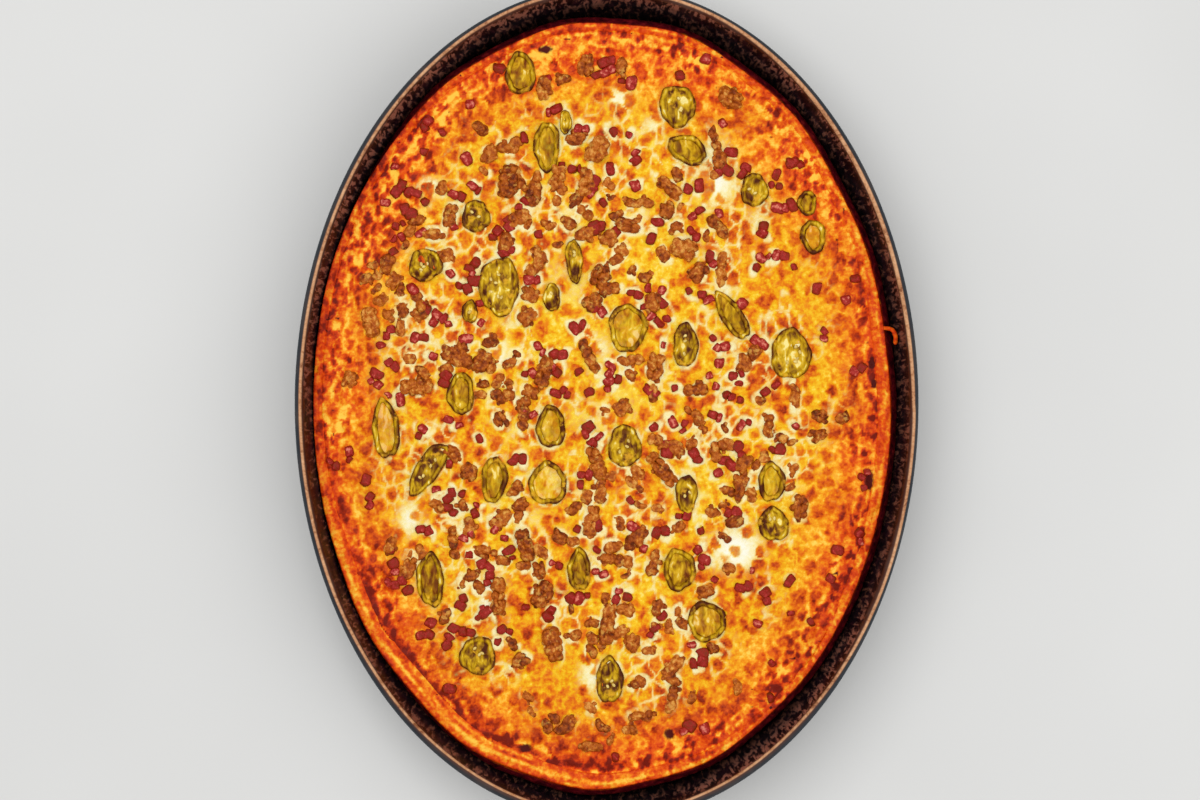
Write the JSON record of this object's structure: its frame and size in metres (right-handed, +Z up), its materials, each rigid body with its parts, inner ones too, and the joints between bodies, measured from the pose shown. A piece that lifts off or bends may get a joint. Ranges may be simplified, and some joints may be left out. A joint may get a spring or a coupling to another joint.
{
  "type": "deep dish pizza",
  "caption": "Deep dish pizza with pepper slices, sausage and bacon bits on melted cheese, whole and uncut in its own oval metal baking pan.",
  "frame": {"origin": "middle of the pan's flat underside, on the surface it stands on", "axes": "+Z up out of the pan, +Y along the pan's long axis, +X across it to the right"},
  "size_m": [0.3048, 0.4088, 0.051],
  "materials": {
    "pan": "dark hard coat, worn bright on the rolled rim, with baked-on grease",
    "crust": "baked dough, orange-brown, oily and pitted",
    "cheese": "melted and browned cheese with an oily shine",
    "pepper": "roasted green pepper, wet, with a dark olive skin",
    "bacon": "crisp crimson bacon bits, oily, with dark ends and paler fat",
    "sausage": "rough browned ground sausage with a little fat on it"
  },
  "bodies": {
    "root": {"pan": "pan", "crust": "crust", "cheese": "cheese", "pepper_01": "pepper", "pepper_02": "pepper", "pepper_03": "pepper", "pepper_04": "pepper", "pepper_05": "pepper", "pepper_06": "pepper", "pepper_07": "pepper", "pepper_08": "pepper", "pepper_09": "pepper", "pepper_10": "pepper", "pepper_11": "pepper", "pepper_12": "pepper", "pepper_13": "pepper", "pepper_14": "pepper", "pepper_15": "pepper", "pepper_16": "pepper", "pepper_17": "pepper", "pepper_18": "pepper", "pepper_19": "pepper", "pepper_20": "pepper", "pepper_21": "pepper", "pepper_22": "pepper", "pepper_23": "pepper", "pepper_24": "pepper", "pepper_25": "pepper", "pepper_26": "pepper", "pepper_27": "pepper", "pepper_28": "pepper", "pepper_29": "pepper", "pepper_30": "pepper", "pepper_31": "pepper", "pepper_32": "pepper", "pepper_33": "pepper", "pepper_34": "pepper", "sausage_01": "sausage", "sausage_02": "sausage", "sausage_03": "sausage", "sausage_04": "sausage", "sausage_05": "sausage", "sausage_06": "sausage", "sausage_07": "sausage", "sausage_08": "sausage", "sausage_09": "sausage", "sausage_10": "sausage", "sausage_11": "sausage", "sausage_12": "sausage", "sausage_13": "sausage", "sausage_14": "sausage", "sausage_15": "sausage", "sausage_16": "sausage", "sausage_17": "sausage", "sausage_18": "sausage", "sausage_19": "sausage", "sausage_20": "sausage", "sausage_21": "sausage", "sausage_22": "sausage", "sausage_23": "sausage"}
  },
  "joints": []
}
